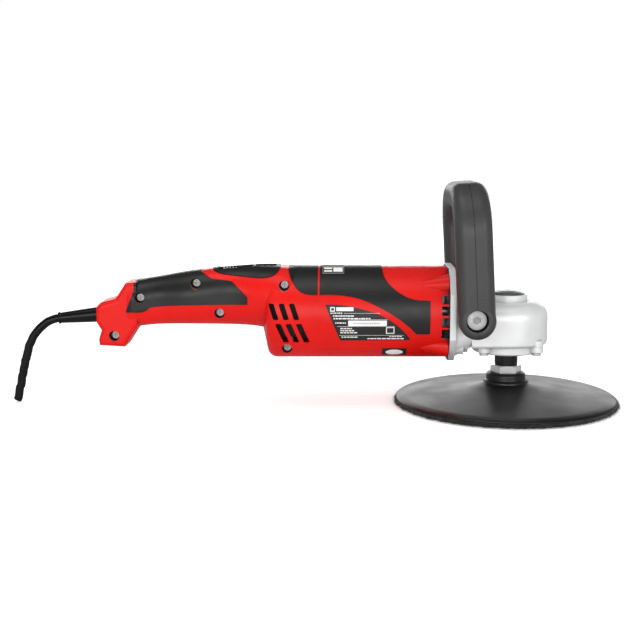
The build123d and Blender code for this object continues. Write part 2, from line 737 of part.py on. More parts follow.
def drive_pinion():
    tip, root, pitch = tooth_sizes()
    pitch_r = CONE_OUTER * pitch_slope()
    x = -CONE_OUTER
    low, high = pitch_r - root - 0.15, pitch_r + tip
    half_root, half_pitch, half_tip = 0.23 * pitch, 0.195 * pitch, 0.11 * pitch
    section = [(x, -half_root, low), (x, -half_pitch, pitch_r), (x, -half_tip, high), (x, half_tip, high),
               (x, half_pitch, pitch_r), (x, half_root, low)]
    tooth = bevel_tooth(section)
    shrink = CONE_INNER / CONE_OUTER
    body = turned_x([(x, 0), (x, low + 0.2), (-CONE_INNER, (low + 0.2) * shrink), (-CONE_INNER, 0)])
    for i in range(PINION_TEETH):
        body += Rot(360 / PINION_TEETH * i, 0, 0) * tooth
    body += along_x(7.0, x - 5.0, x)
    return body - along_x(SHAFT_FRONT_R + FIT, x - 10, 0)


def crown_gear():
    tip, root, pitch = tooth_sizes()
    pitch_z = -CONE_OUTER * pitch_slope()
    r = CONE_OUTER
    low, high = pitch_z - root, pitch_z + tip
    flank = tan(radians(20))
    half = 0.195 * pitch
    half_low, half_high = half + root * flank, half - tip * flank
    section = [(r, -half_low, low - 0.15), (r, -half, pitch_z), (r, -half_high, high), (r, half_high, high),
               (r, half, pitch_z), (r, half_low, low - 0.15)]
    tooth = bevel_tooth(section)
    shrink = CONE_INNER / CONE_OUTER
    web = CONE_INNER - 1.0
    rim = [(SPINDLE_R + FIT, -13.5), (13.0, -13.5), (14.0, -11.4), (r, -11.4), (r, low),
           (CONE_INNER, low * shrink), (web, -7.4), (SPINDLE_R + FIT, -7.4)]
    body = turned_z(rim)
    for i in range(CROWN_TEETH):
        body += Rot(0, 0, 360 / CROWN_TEETH * (i + 0.5)) * tooth
    hole_count = 12
    for i in range(hole_count):
        body -= Rot(0, 0, 360 / hole_count * i) * along_z(2.0, -12, -5, y=LOCK_PIN_Y)
    return body


def neck_section(x, width, z_low, z_high, corner):
    plane = Plane(origin=(x, 0, (z_low + z_high) / 2), x_dir=(0, 1, 0), z_dir=(1, 0, 0))
    return plane * RectangleRounded(width, z_high - z_low, corner)


def head_outer():
    """Round-nosed head with a rounded top edge, joined to the flange by a neck."""
    plan = Circle(HEAD_NOSE_R) + Pos(-16, 0) * Rectangle(32, 2 * HEAD_NOSE_R)
    head = extrude(Pos(0, 0, HEAD_BOTTOM) * plan, amount=HEAD_TOP - HEAD_BOTTOM)
    top_edges = [e for e in head.edges().group_by(Axis.Z)[-1] if e.center().X > -31]
    head = fillet(top_edges, 12.5)
    bottom_edges = [e for e in head.edges().group_by(Axis.Z)[0] if e.center().X > -31]
    head = fillet(bottom_edges, 2.5)
    rear = neck_section(-45.2, 67, -33.5, 33.5, 14)
    middle = neck_section(-29.5, 66, HEAD_BOTTOM, 18.0, 12)
    front = neck_section(-15.0, 65, HEAD_BOTTOM, HEAD_TOP - 0.4, 9)
    return head + loft([rear, middle], ruled=True) + loft([middle, front], ruled=True)


def flange_outline(inset):
    """Square with rounded corners, drawn in to a circle at its corners."""
    side = 2 * (FLANGE_HALF - inset)
    return RectangleRounded(side, side, 11.5) & Circle(FLANGE_R - inset)


def head_flange():
    plane = Plane(origin=(BARREL_FRONT + GASKET_THICK, 0, 0), x_dir=(0, 1, 0), z_dir=(1, 0, 0))
    plate = extrude(plane * flange_outline(0), amount=FLANGE_THICK)
    for y, z in case_screw_places():
        plate += along_x(6.0, -46, CASE_SEAT_X, y, z)
    return plate


def gear_housing():
    body = head_outer() + head_flange() + along_z(BOSS_R, 0, BOSS_TOP)
    lug_y = HOOP_INNER_Y - 0.15
    body += along_y(13.0, -lug_y, lug_y, PIVOT_X, PIVOT_Z)
    body -= along_z(HEAD_CAVITY_R, HEAD_BOTTOM - 1, 3.6) - along_z(14.0, -2.4, 5)
    body -= along_x(11.5, -41, -17.2)
    bearing_front = FRONT_BEARING_X + FRONT_BEARING_WIDTH / 2 + 0.2
    body -= along_x(FRONT_BEARING_R + 0.03, BARREL_FRONT - 1, bearing_front)
    body -= along_z(BUSH_R + 0.03, -3, 6.5)
    body -= along_z(LOCK_BORE_R, 7.6, 20)
    for side_y in (-1, 1):
        body -= along_z(LOCK_PIN_R + FIT, -5, 10, y=side_y * LOCK_PIN_Y)
        body -= along_y(INSERT_R + 0.03, side_y * 32 - 10, side_y * 32 + 10, PIVOT_X, PIVOT_Z)
    for y, z in case_screw_places():
        body -= along_x(CASE_SCREW_R + FIT, -55, -30, y, z)
        body -= along_x(5.2, CASE_SEAT_X, -25, y, z)
    for x, y in cover_screw_places():
        body += along_z(COVER_LUG_R, HEAD_BOTTOM, HEAD_BOTTOM + 5, x, y) - along_z(HEAD_CAVITY_R, -40, -10)
        body -= along_z(COVER_SCREW_R + FIT, -40, -16, x, y)
    return body


def cover_screw_places():
    return [(x * COVER_SCREW_OFFSET, y * COVER_SCREW_OFFSET) for x in (-1, 1) for y in (-1, 1)]


def case_gasket():
    plane = Plane(origin=(BARREL_FRONT, 0, 0), x_dir=(0, 1, 0), z_dir=(1, 0, 0))
    sheet = plane * (flange_outline(0.5) - Circle(33.0))
    body = extrude(sheet, amount=GASKET_THICK)
    for y, z in case_screw_places():
        body -= along_x(CASE_SCREW_R + FIT, -60, -40, y, z)
    return body


def case_screws():
    screws = []
    for y, z in case_screw_places():
        head = along_x(4.2, CASE_SEAT_X, CASE_SEAT_X + 3.6, y, z)
        head -= along_x(2.0, CASE_SEAT_X + 1.6, -30, y, z)
        screws.append(head + along_x(CASE_SCREW_R, -64, CASE_SEAT_X, y, z))
    return group(screws)


def handle_inserts():
    bushes = []
    for side_y in (-1, 1):
        low, high = sorted((side_y * 23.0, side_y * 37.0))
        bore = along_y(BOLT_R + FIT, low, high, PIVOT_X, PIVOT_Z)
        bushes.append(along_y(INSERT_R, low, high, PIVOT_X, PIVOT_Z) - bore)
    return group(bushes)


def spindle_bush():
    return along_z(BUSH_R, -2.2, 6.4) - along_z(SPINDLE_TOP_R + FIT, -3, 7)


def bearing_cover():
    """Plate under the head, with four screw lugs and the spindle's lower bearing seat."""
    plate = turned_z([(0, HEAD_BOTTOM), (0, -34), (19.5, -34), (23.0, -32.6), (COVER_R - 0.6, -32.2),
                      (COVER_R, -31.6), (COVER_R, HEAD_BOTTOM)])
    for x, y in cover_screw_places():
        plate += along_z(COVER_LUG_R + 0.2, -30.2, HEAD_BOTTOM, x, y)
    plate += along_z(HEAD_CAVITY_R - FIT, HEAD_BOTTOM - 1, -20.5)
    plate -= along_z(LOWER_BEARING_R + 0.03, LOWER_BEARING_Z - 5.4, -18)
    plate -= along_z(COLLAR_R + 0.4, -40, -30)
    plate -= along_z(13.0, -33.2, -30)
    for x, y in cover_screw_places():
        plate -= along_z(COVER_SCREW_R + FIT, -40, -20, x, y)
        plate -= along_z(4.1, -40, -30.2, x, y)
    return plate


def cover_screws():
    screws = []
    for x, y in cover_screw_places():
        head = along_z(3.7, -32.8, -30.2, x, y) - along_z(1.8, -34, -31.6, x, y)
        screws.append(head + along_z(COVER_SCREW_R, -30.2, -17, x, y))
    return group(screws)


def spindle_seal():
    return along_z(12.9, -33.1, -31.6) - along_z(COLLAR_R + 0.08, -34, -31)


def lock_button():
    """Domed push button on two pins that reach the crown gear."""
    rim = LOCK_BORE_R - 0.2
    skirt = LOCK_BORE_R - 1.6
    dome = turned_z([(0, 13.4), (0, 17.4), (6, 17.0), (11, 16.0), (13.2, 15.1), (rim, 14.5), (rim, 11.2),
                     (skirt, 11.2), (skirt, 13.4)])
    for side_y in (-1, 1):
        dome += along_z(LOCK_PIN_R, -3.8, 14, y=side_y * LOCK_PIN_Y)
    return dome


def lock_spring():
    helix = Helix(pitch=1.2, height=4.8, radius=5.0)
    wire = sweep(Plane(origin=helix @ 0, z_dir=helix % 0) * Circle(0.35), path=helix)
    return Pos(0, 0, 7.98) * wire


# ---- spindle and pad ----------------------------------------------------------------------------
def spindle():
    body = along_z(SPINDLE_TOP_R, -5, 6.0) + along_z(SPINDLE_R, -31.2, -5)
    body += along_z(COLLAR_R, HEX_TOP, -31.2)
    for side in (-1, 1):
        body -= Rot(0, 0, 25) * block(side * 12 - 4, side * 12 + 4, -12, 12, -42.5, -35.5)
    return body + along_z(THREAD_R, -62, HEX_TOP)


def pad_insert():
    """Hexagon nut and threaded bush that the rubber is moulded around."""
    top = HEX_TOP - 0.05
    outline = Pos(0, 0, HEX_BOTTOM) * RegularPolygon(HEX_ACROSS / 2, 6, major_radius=False)
    hexagon = extrude(outline, amount=top - HEX_BOTTOM)
    corner_r = HEX_ACROSS / 2 / cos(pi / 6)
    chamfer_cone = turned_z([(0, HEX_BOTTOM), (corner_r, HEX_BOTTOM), (corner_r, HEX_TOP - 1.2),
                             (corner_r - 1.6, top), (0, top)])
    body = (hexagon & chamfer_cone) + along_z(10.0, -66, HEX_BOTTOM)
    return body - along_z(THREAD_R + FIT, -64, -40)


def backing_pad():
    """Rubber backing pad: hub, ring and a shallow cone out to a thin rim."""
    hub = [(10.05, HEX_BOTTOM - 0.05), (14.6, HEX_BOTTOM - 0.05), (HUB_R, -51.4), (HUB_R, -56.0),
           (17.8, -57.6), (18.4, -58.8), (20.5, -59.8)]
    cone = [(50, -64.6), (84, -69.2), (88, -70.2), (PAD_R, -71.4), (PAD_R, PAD_BACK), (0, PAD_BACK),
            (0, -66.1), (10.05, -66.1)]
    return turned_z(hub + cone)


def hook_pad():
    return along_z(HOOK_R, -AXIS_HEIGHT, PAD_BACK - 0.02)


# ---- hoop handle --------------------------------------------------------------------------------
def hoop_form():
    """Bar bent over the head, with round ends about the side bolts."""
    middle_y = HOOP_INNER_Y + HOOP_THICK / 2
    top = HOOP_TOP - HOOP_THICK / 2
    bend = HOOP_CORNER
    points = [(0, -middle_y, 0), (0, -middle_y, top), (0, middle_y, top), (0, middle_y, 0)]
    path = FilletPolyline(*points, radius=bend)
    start = Plane(origin=points[0], x_dir=(1, 0, 0), z_dir=(0, 0, 1))
    bar = sweep(start * RectangleRounded(HOOP_WIDTH, HOOP_THICK, HOOP_EDGE), path=path)
    for side_y in (-1, 1):
        low, high = sorted((side_y * HOOP_INNER_Y, side_y * (HOOP_INNER_Y + HOOP_THICK)))
        end = along_y(HOOP_WIDTH / 2, low, high)
        bar += fillet(end.edges().filter_by(GeomType.CIRCLE), 5.0)
    return bar


def hoop_halves():
    form = hoop_form()
    for side_y in (-1, 1):
        outer = HOOP_INNER_Y + HOOP_THICK
        form -= along_y(BOLT_R + 0.08, side_y * 48 - 15, side_y * 48 + 15)
        low, high = sorted((side_y * (outer - BOLT_RECESS_DEPTH), side_y * (outer + 5)))
        form -= along_y(BOLT_RECESS_R, low, high)
    lean = Pos(PIVOT_X, 0, PIVOT_Z) * Rot(0, HOOP_LEAN, 0)
    front = form & block(SPLIT_GAP, 40, -80, 80, -40, 130)
    rear = form & block(-40, -SPLIT_GAP, -80, 80, -40, 130)
    return lean * front, lean * rear


def handle_bolts():
    bolts = []
    for side_y in (-1, 1):
        seat = HOOP_INNER_Y + HOOP_THICK - BOLT_RECESS_DEPTH + 0.05
        head = along_y(BOLT_HEAD_R, seat, seat + BOLT_HEAD_THICK, PIVOT_X, PIVOT_Z)
        head_face = Plane(origin=(PIVOT_X, seat + BOLT_HEAD_THICK, PIVOT_Z), z_dir=(0, 1, 0))
        head -= extrude(head_face * RegularPolygon(3.4, 6), amount=-3.5)
        bolt = head + along_y(BOLT_R, 24.0, seat, PIVOT_X, PIVOT_Z)
        bolts.append(bolt if side_y > 0 else mirrored(bolt))
    return group(bolts)


# ---- assembly -----------------------------------------------------------------------------------
def casings():
    form = (rear_form(0), rear_form(WALL))
    pocket_floor = rear_form(SKIN)
    grip_floor = rear_form(SKIN - FIT)
    swollen = rear_form(-PROUD)
    parts = {
        "motor_housing": motor_housing(),
        "motor_grip": motor_grip(),
        "switch_bezel": switch_bezel(rear_form(-0.7), form[1]),
    }
    for name, side_y in (("right", -1), ("left", 1)):
        parts["handle_shell_" + name] = cut_pockets(shell_half(form, side_y), form[0], pocket_floor)
        parts["handle_grip_" + name] = shell_grips(handle_grip_face(), swollen, grip_floor, side_y)
        parts["rear_grip_" + name] = shell_grips(rear_grip_face(), swollen, grip_floor, side_y)
    holes = []
    for x, z, seat in SHELL_SCREWS:
        holes.append(along_y(SCREW_RECESS_R, -60, 0, x, z))
    for name in ("handle_grip_right", "rear_grip_right"):
        for hole in holes:
            parts[name] -= hole
    parts["switch_slider"] = switch_slider()
    parts["power_switch"] = power_switch()
    parts["speed_dial"] = speed_dial()
    parts["speed_potentiometer"] = speed_potentiometer()
    parts["shell_screws"] = shell_screws()
    parts["rating_plate"] = rating_plate()
    parts["top_label"] = top_label()
    parts["side_sticker"] = side_sticker()
    return parts


def electrics():
    holders, brushes, springs = brush_parts()
    rear_bearing = ball_bearing(SHAFT_REAR_R, REAR_BEARING_R, REAR_BEARING_WIDTH)
    front_bearing = ball_bearing(SHAFT_R, FRONT_BEARING_R, FRONT_BEARING_WIDTH)
    parts = {
        "power_cable": power_cable(),
        "strain_relief": strain_relief(),
        "cable_clamp": cable_clamp(),
        "cable_clamp_screws": cable_clamp_screws(),
        "control_board": control_board(),
        "suppression_capacitor": suppression_capacitor(),
        "lead_wires": lead_wires(),
        "armature_shaft": armature_shaft(),
        "armature_core": armature_core(),
        "armature_windings": armature_windings(),
        "commutator": commutator(),
        "cooling_fan": cooling_fan(),
        "stator_core": stator_core(),
        "field_coils": field_coils(),
        "brush_holders": holders,
        "carbon_brushes": brushes,
        "brush_springs": springs,
        "air_baffle": air_baffle(),
    }
    bearings = (("rear", rear_bearing, REAR_BEARING_X), ("front", front_bearing, FRONT_BEARING_X))
    for name, bearing, x in bearings:
        place = Pos(x, 0, 0) * Rot(0, 90, 0)
        outer, inner, balls = bearing
        parts[name + "_bearing_outer"] = place * outer
        parts[name + "_bearing_inner"] = group([place * inner, place * balls])
    return parts


def gear_head():
    outer, inner, balls = ball_bearing(SPINDLE_R + 0.02, LOWER_BEARING_R, LOWER_BEARING_WIDTH)
    place = Pos(0, 0, LOWER_BEARING_Z)
    return {
        "gear_housing": gear_housing(),
        "case_gasket": case_gasket(),
        "case_screws": case_screws(),
        "handle_inserts": handle_inserts(),
        "spindle_bush": spindle_bush(),
        "lower_bearing_outer": place * outer,
        "lower_bearing_inner": group([place * inner, place * balls]),
        "bearing_cover": bearing_cover(),
        "cover_screws": cover_screws(),
        "spindle_seal": spindle_seal(),
        "lock_button": lock_button(),
        "lock_spring": lock_spring(),
        "drive_pinion": drive_pinion(),
        "crown_gear": crown_gear(),
        "spindle": spindle(),
        "pad_insert": pad_insert(),
        "backing_pad": backing_pad(),
        "hook_pad": hook_pad(),
    }


def hoop():
    front, rear = hoop_halves()
    return {"hoop_handle_front": front, "hoop_handle_rear": rear, "handle_bolts": handle_bolts()}


def main():
    os.makedirs("parts", exist_ok=True)
    parts = {}
    for build in (casings, electrics, gear_head, hoop):
        parts.update(build())
    for name, shape in parts.items():
        export_step(Pos(0, 0, AXIS_HEIGHT) * shape, "parts/" + name + ".step")


main()
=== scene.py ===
"""Looks of the rotary polisher: materials for the CAD nodes, and the soft and printed pieces."""
import bmesh
import bpy
import json
import math
import random
from mathutils import Matrix, Vector, noise


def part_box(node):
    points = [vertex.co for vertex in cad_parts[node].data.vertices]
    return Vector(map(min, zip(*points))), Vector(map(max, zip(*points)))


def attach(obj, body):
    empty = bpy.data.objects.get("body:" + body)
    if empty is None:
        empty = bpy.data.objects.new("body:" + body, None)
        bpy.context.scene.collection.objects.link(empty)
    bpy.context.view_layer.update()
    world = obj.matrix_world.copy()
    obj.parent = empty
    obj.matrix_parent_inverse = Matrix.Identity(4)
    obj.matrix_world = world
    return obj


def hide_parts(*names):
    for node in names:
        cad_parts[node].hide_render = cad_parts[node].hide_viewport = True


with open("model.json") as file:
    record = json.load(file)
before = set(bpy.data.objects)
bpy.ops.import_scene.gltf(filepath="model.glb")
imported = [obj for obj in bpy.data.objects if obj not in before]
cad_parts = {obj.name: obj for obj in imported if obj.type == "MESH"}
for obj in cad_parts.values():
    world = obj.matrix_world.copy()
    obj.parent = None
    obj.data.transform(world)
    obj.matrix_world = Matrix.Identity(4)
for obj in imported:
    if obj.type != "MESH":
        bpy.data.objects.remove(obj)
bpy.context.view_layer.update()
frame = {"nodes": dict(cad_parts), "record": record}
nodes = frame["nodes"]

MM = 0.001
AXIS_HEIGHT = 76 * MM       # motor axis above the pad's working face


# ---- materials ----------------------------------------------------------------------------------
class Shader:
    """One material and short calls that add nodes to it. Lengths are in millimetres."""

    def __init__(self, name):
        self.material = bpy.data.materials.new(name)
        self.material.use_nodes = True
        self.tree = self.material.node_tree
        self.bsdf = self.tree.nodes["Principled BSDF"]
        self.place = self.node("ShaderNodeTexCoord").outputs["Object"]

    def node(self, kind, **settings):
        made = self.tree.nodes.new(kind)
        for key, value in settings.items():
            setattr(made, key, value)
        return made

    def put(self, value, socket):
        """A node's output, a colour or a number into one input."""
        if isinstance(value, bpy.types.NodeSocket):
            self.tree.links.new(value, socket)
        elif isinstance(value, (tuple, list)) and len(value) == 3 and len(socket.default_value) == 4:
            socket.default_value = (*value, 1.0)
        else:
            socket.default_value = value

    def set(self, name, value):
        self.put(value, self.bsdf.inputs[name])

    def stretched(self, scale):
        mapping = self.node("ShaderNodeMapping")
        mapping.inputs["Scale"].default_value = scale
        self.put(self.place, mapping.inputs["Vector"])
        return mapping.outputs["Vector"]

    def noise(self, size_mm, detail=3.0, vector=None):
        """Noise with features of about size_mm, as a value round one half."""
        made = self.node("ShaderNodeTexNoise")
        made.inputs["Scale"].default_value = 1.0 / (size_mm * MM)
        made.inputs["Detail"].default_value = detail
        self.put(self.place if vector is None else vector, made.inputs["Vector"])
        return made.outputs["Fac"]

    def cells(self, size_mm):
        made = self.node("ShaderNodeTexVoronoi")
        made.inputs["Scale"].default_value = 1.0 / (size_mm * MM)
        self.put(self.place, made.inputs["Vector"])
        return made.outputs["Distance"]

    def spread(self, value, from_low, from_high, to_low, to_high):
        made = self.node("ShaderNodeMapRange")
        limits = {"From Min": from_low, "From Max": from_high, "To Min": to_low, "To Max": to_high}
        for key, number in limits.items():
            made.inputs[key].default_value = number
        self.put(value, made.inputs["Value"])
        return made.outputs["Result"]

    def mix(self, factor, colour_a, colour_b):
        made = self.node("ShaderNodeMix", data_type="RGBA")
        factor_in, a_in, b_in, colour_out = made.inputs[0], made.inputs[6], made.inputs[7], made.outputs[2]
        self.put(factor, factor_in)
        self.put(colour_a, a_in)
        self.put(colour_b, b_in)
        return colour_out

    def math(self, operation, a, b):
        made = self.node("ShaderNodeMath", operation=operation)
        self.put(a, made.inputs[0])
        self.put(b, made.inputs[1])
        return made.outputs[0]

    def edge_mask(self, radius_mm):
        """Near 1 on sharp edges, 0 on open surface, whatever the mesh density."""
        bevel = self.node("ShaderNodeBevel", samples=4)
        bevel.inputs["Radius"].default_value = radius_mm * MM
        facing = self.node("ShaderNodeVectorMath", operation="DOT_PRODUCT")
        self.put(bevel.outputs["Normal"], facing.inputs[0])
        self.put(self.node("ShaderNodeNewGeometry").outputs["Normal"], facing.inputs[1])
        return self.spread(facing.outputs["Value"], 0.985, 0.80, 0.0, 1.0)

    def painted_crevice_shade(self, reach_mm, darkest):
        """Painted shade: a factor that falls to darkest in corners and slots that little light gets into, from
        ambient occlusion.
        """
        shade = self.node("ShaderNodeAmbientOcclusion", samples=6)
        shade.inputs["Distance"].default_value = reach_mm * MM
        return self.spread(shade.outputs["AO"], 0.25, 0.85, darkest, 1.0)

    def bump(self, height, depth_mm, round_mm=0.0):
        """Surface relief of depth_mm, on top of edges that look rounded by round_mm."""
        made = self.node("ShaderNodeBump")
        made.inputs["Strength"].default_value = 1.0
        made.inputs["Distance"].default_value = depth_mm * MM
        self.put(height, made.inputs["Height"])
        if round_mm:
            bevel = self.node("ShaderNodeBevel", samples=4)
            bevel.inputs["Radius"].default_value = round_mm * MM
            self.put(bevel.outputs["Normal"], made.inputs["Normal"])
        self.set("Normal", made.outputs["Normal"])

    def darkened(self, colour, factor):
        made = self.node("ShaderNodeVectorMath", operation="SCALE")
        self.put(colour, made.inputs[0])
        self.put(factor, made.inputs["Scale"])
        return made.outputs[0]


def tone(colour, factor):
    return tuple(min(1.0, channel * factor) for channel in colour)


def moulded(name, colour, roughness, grain_mm=0.35, grain_depth=0.02, edge=1.25, round_mm=0.3, specular=0.5,
            crevice_shade=(4.0, 0.35)):
    """Moulded plastic or rubber: faint mottling, tool grain, polished edges, painted shade in creases and dust in
    the roughness.
    """
    shader = Shader(name)
    cloud = shader.noise(28, detail=4)
    base = shader.mix(shader.spread(cloud, 0.35, 0.65, 0.0, 1.0), tone(colour, 0.94), tone(colour, 1.05))
    scuffs = shader.spread(shader.noise(4, detail=5), 0.45, 0.6, 0.1, 0.7)
    worn = shader.math("MULTIPLY", shader.edge_mask(0.45), scuffs)
    coloured = shader.mix(worn, base, tone(colour, edge))
    # painted shade: ambient occlusion darkens the colour in corners, slots and recesses
    shader.set("Base Color", shader.darkened(coloured, shader.painted_crevice_shade(*crevice_shade)))
    dusty = shader.noise(9, detail=5)
    shader.set("Roughness", shader.spread(dusty, 0.3, 0.7, roughness - 0.05, roughness + 0.07))
    shader.set("Specular IOR Level", specular)
    pits = shader.math("MULTIPLY", shader.cells(grain_mm * 2.2), 0.5)
    shader.bump(shader.math("ADD", shader.noise(grain_mm, detail=2), pits), grain_depth, round_mm)
    return shader.material


def metal(name, colour, roughness, grain_mm=0.5, grain_depth=0.01, stretch=None, metallic=1.0, round_mm=0.25,
          grime=0.85, crevice_shade=(5.0, 0.45)):
    """Bare or plated metal: cast or brushed grain, painted shade in creases and brighter edges."""
    shader = Shader(name)
    vector = shader.stretched(stretch) if stretch else None
    grain = shader.noise(grain_mm, detail=4, vector=vector)
    cloud = shader.noise(18, detail=5)
    base = shader.mix(shader.spread(cloud, 0.35, 0.7, 0.0, 1.0), tone(colour, grime), colour)
    coloured = shader.mix(shader.math("MULTIPLY", shader.edge_mask(0.35), 0.6), base, tone(colour, 1.15))
    # painted shade: ambient occlusion darkens the colour in corners, slots and recesses
    shader.set("Base Color", shader.darkened(coloured, shader.painted_crevice_shade(*crevice_shade)))
    shader.set("Metallic", metallic)
    both = shader.math("ADD", grain, cloud)
    shader.set("Roughness", shader.spread(both, 0.7, 1.3, roughness - 0.06, roughness + 0.08))
    shader.bump(grain, grain_depth, round_mm)
    return shader.material


def fabric(name, colour):
    """Hook fabric: tiny dark loops with a dusty sheen."""
    shader = Shader(name)
    loops = shader.cells(0.9)
    shader.set("Base Color", shader.mix(shader.spread(loops, 0.1, 0.6, 0.0, 1.0), tone(colour, 2.4), colour))
    shader.set("Roughness", 0.95)
    shader.set("Sheen Weight", 0.25)
    shader.set("Sheen Roughness", 0.5)
    shader.bump(shader.math("ADD", loops, shader.noise(0.5)), 0.35)
    return shader.material


def pad_rubber(name, colour):
    """Satin rubber with turning marks round the spindle, soft smears, pale dust and painted shade in creases."""
    shader = Shader(name)
    smear = shader.noise(26, detail=5)
    dust = shader.spread(shader.noise(3.5, detail=6), 0.58, 0.75, 0.0, 0.30)
    base = shader.mix(shader.spread(smear, 0.35, 0.7, 0.0, 1.0), colour, tone(colour, 1.5))
    coloured = shader.mix(dust, base, tone(colour, 2.2))
    # painted shade: ambient occlusion darkens the colour round the hub and in creases
    shader.set("Base Color", shader.darkened(coloured, shader.painted_crevice_shade(6.0, 0.4)))
    shader.set("Roughness", shader.spread(smear, 0.3, 0.7, 0.30, 0.44))
    shader.set("Specular IOR Level", 0.6)
    rings = shader.node("ShaderNodeTexWave", wave_type="RINGS", rings_direction="Z")
    rings.inputs["Scale"].default_value = 220.0
    rings.inputs["Distortion"].default_value = 1.5
    shader.put(shader.place, rings.inputs["Vector"])
    faint = shader.math("MULTIPLY", rings.outputs["Fac"], 0.25)
    shader.bump(shader.math("ADD", faint, shader.noise(1.6, detail=4)), 0.03)
    return shader.material


RED = (0.71, 0.0065, 0.0040)
GRIP = (0.0115, 0.0113, 0.0110)
HOOP = (0.043, 0.043, 0.0435)
WHITE_INK = (0.88, 0.88, 0.87)

# crevice settings give the reach in mm and the darkest factor of the painted shade in corners and slots
MATERIALS = {
    "red_casing": moulded("red_plastic", RED, 0.32, grain_mm=0.5, grain_depth=0.010, edge=1.25, specular=0.24,
                          crevice_shade=(9.0, 0.08)),
    "soft_grip": moulded("soft_grip_rubber", GRIP, 0.38, grain_mm=0.4, grain_depth=0.022, edge=2.2, specular=0.46,
                         crevice_shade=(9.0, 0.08)),
    "black_plastic": moulded("black_plastic", (0.010, 0.010, 0.0105), 0.36, edge=2.2, specular=0.4),
    "hoop_plastic": moulded("hoop_plastic", HOOP, 0.42, grain_mm=0.6, grain_depth=0.03, edge=1.5, round_mm=0.8,
                            crevice_shade=(8.0, 0.2)),
    "cast_head": metal("cast_aluminium", (0.90, 0.905, 0.91), 0.40, grain_mm=0.9, grain_depth=0.04, metallic=0.36,
                       round_mm=0.9, grime=0.93, crevice_shade=(6.0, 0.5)),
    "screw_steel": metal("screw_steel", (0.84, 0.84, 0.85), 0.24, grain_mm=0.3, metallic=0.55),
    "gear_steel": metal("gear_steel", (0.55, 0.55, 0.56), 0.3),
    "bearing_steel": metal("bearing_steel", (0.7, 0.7, 0.72), 0.2),
    "lamination": metal("lamination_steel", (0.32, 0.32, 0.33), 0.5, grain_mm=0.6, stretch=(6, 1, 1)),
    "copper": metal("copper_wire", (0.72, 0.34, 0.20), 0.35, grain_mm=0.6),
    "bronze": metal("sintered_bronze", (0.62, 0.44, 0.22), 0.45),
    "carbon": moulded("carbon", (0.03, 0.03, 0.032), 0.6),
    "blackened_steel": metal("blackened_steel", (0.010, 0.010, 0.0105), 0.28, metallic=0.3),
    "plated_steel": metal("plated_steel", (0.86, 0.86, 0.87), 0.18, grain_depth=0.006, metallic=0.45),
    "button_metal": metal("button_metal", (0.20, 0.20, 0.21), 0.30, metallic=0.6),
    "pad_rubber": pad_rubber("pad_rubber", (0.0048, 0.0048, 0.0050)),
    "hook_fabric": fabric("hook_fabric", (0.006, 0.006, 0.006)),
    "cable_rubber": moulded("cable_rubber", (0.0030, 0.0030, 0.0034), 0.28, grain_mm=0.9, grain_depth=0.012,
                            specular=0.35),
    "board": moulded("circuit_board", (0.03, 0.18, 0.07), 0.4),
    "capacitor_film": moulded("capacitor_film", (0.6, 0.42, 0.05), 0.25),
    "plate_print": moulded("plate_print", (0.018, 0.018, 0.0185), 0.45, grain_depth=0.006),
    "sticker_film": metal("sticker_film", (0.55, 0.56, 0.57), 0.3, grain_depth=0.004, metallic=0.3),
}
INK = moulded("white_ink", WHITE_INK, 0.55, grain_depth=0.004, edge=1.0)
CORE_BLUE = moulded("core_blue", (0.03, 0.10, 0.42), 0.4)
CORE_BROWN = moulded("core_brown", (0.16, 0.06, 0.02), 0.4)

for row in frame["record"]["subparts"]:
    made = nodes[row["node"]]
    made.data.materials.clear()
    made.data.materials.append(MATERIALS[row["material_slot"]])


# ---- mesh helpers -------------------------------------------------------------------------------
def new_object(name, points, faces, materials, body, smooth=True):
    mesh = bpy.data.meshes.new(name)
    mesh.from_pydata([tuple(p) for p in points], [], faces)
    work = bmesh.new()
    work.from_mesh(mesh)
    bmesh.ops.recalc_face_normals(work, faces=work.faces)
    work.to_mesh(mesh)
    work.free()
    mesh.update()
    if smooth:
        mesh.shade_smooth()
    for material in materials:
        mesh.materials.append(material)
    made = bpy.data.objects.new(name, mesh)
    bpy.context.scene.collection.objects.link(made)
    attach(made, body)
    return made


def ring_faces(rings, segments, closed=True):
    """Faces between rings of points; closed ends unless the rings join up into a ring of rings."""
    faces = []
    for r in range(rings - 1):
        for i in range(segments):
            j = (i + 1) % segments
            faces.append((r * segments + i, r * segments + j, (r + 1) * segments + j, (r + 1) * segments + i))
    if closed:
        faces.append(tuple(reversed(range(segments))))
        faces.append(tuple((rings - 1) * segments + i for i in range(segments)))
    return faces


def rounded_profile(corners, steps=5):
    """Profile of (radius, height) whose corners (radius, height, round) are eased by their own radius."""
    points = []
    for i, (r, z, ease) in enumerate(corners):
        here = Vector((r, z))
        if ease <= 0 or i in (0, len(corners) - 1):
            points.append(here)
            continue
        before = Vector(corners[i - 1][:2]) - here
        after = Vector(corners[i + 1][:2]) - here
        cut = min(ease, 0.45 * before.length, 0.45 * after.length)
        start = here + before.normalized() * cut
        end = here + after.normalized() * cut
        for k in range(steps + 1):
            t = k / steps
            points.append((1 - t) ** 2 * start + 2 * t * (1 - t) * here + t ** 2 * end)
    return points


# ---- backing pad --------------------------------------------------------------------------------
PAD_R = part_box("backing_pad")[1][0]
PAD_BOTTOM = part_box("backing_pad")[0][2]
HUB_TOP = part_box("backing_pad")[1][2]
HOOK_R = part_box("hook_pad")[1][0]
HOOK_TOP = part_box("hook_pad")[1][2]
FIBRE_COUNT = 3000
FIBRE_R = 0.13 * MM
RAGGED = 1.5 * MM           # depth of the uneven felt edge


